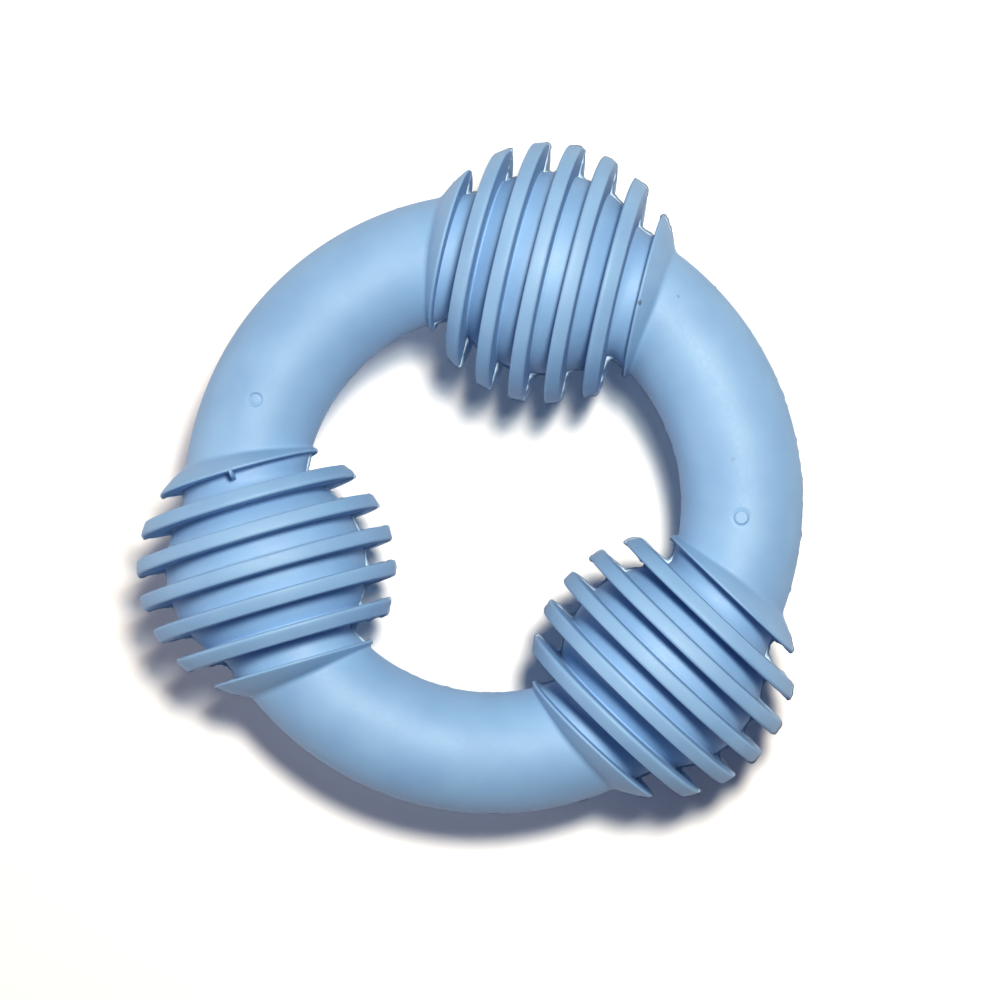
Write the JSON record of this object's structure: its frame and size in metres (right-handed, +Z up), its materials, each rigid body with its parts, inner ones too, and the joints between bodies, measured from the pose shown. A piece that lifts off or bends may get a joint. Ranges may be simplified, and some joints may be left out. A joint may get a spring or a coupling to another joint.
{
  "type": "rubber chew toy",
  "caption": "Solid rubber ring to chew, lying flat, with large balls spaced evenly round its tube, each cut by parallel grooves into thin round ribs.",
  "frame": {"origin": "centre of the ring, on its parting plane halfway up", "axes": "+Z up along the ring's axis; +Y through the middle of the back ball; +X to the right"},
  "size_m": [0.1178, 0.1191, 0.0458],
  "materials": {
    "light_blue_rubber": "matt, as moulded"
  },
  "bodies": {
    "root": {"right_arc": "light_blue_rubber", "front_arc": "light_blue_rubber", "left_arc": "light_blue_rubber", "back_ball_core": "light_blue_rubber", "right_ball_core": "light_blue_rubber", "left_ball_core": "light_blue_rubber", "back_ball_rib_1": "light_blue_rubber", "back_ball_rib_2": "light_blue_rubber", "back_ball_rib_3": "light_blue_rubber", "back_ball_rib_4": "light_blue_rubber", "back_ball_rib_5": "light_blue_rubber", "right_ball_rib_1": "light_blue_rubber", "right_ball_rib_2": "light_blue_rubber", "right_ball_rib_3": "light_blue_rubber", "right_ball_rib_4": "light_blue_rubber", "right_ball_rib_5": "light_blue_rubber", "left_ball_rib_1": "light_blue_rubber", "left_ball_rib_2": "light_blue_rubber", "left_ball_rib_3": "light_blue_rubber", "left_ball_rib_4": "light_blue_rubber", "left_ball_rib_5": "light_blue_rubber", "back_ball_lip_1": "light_blue_rubber", "back_ball_lip_2": "light_blue_rubber", "right_ball_lip_1": "light_blue_rubber", "right_ball_lip_2": "light_blue_rubber", "left_ball_lip_1": "light_blue_rubber", "left_ball_lip_2": "light_blue_rubber"}
  },
  "joints": []
}
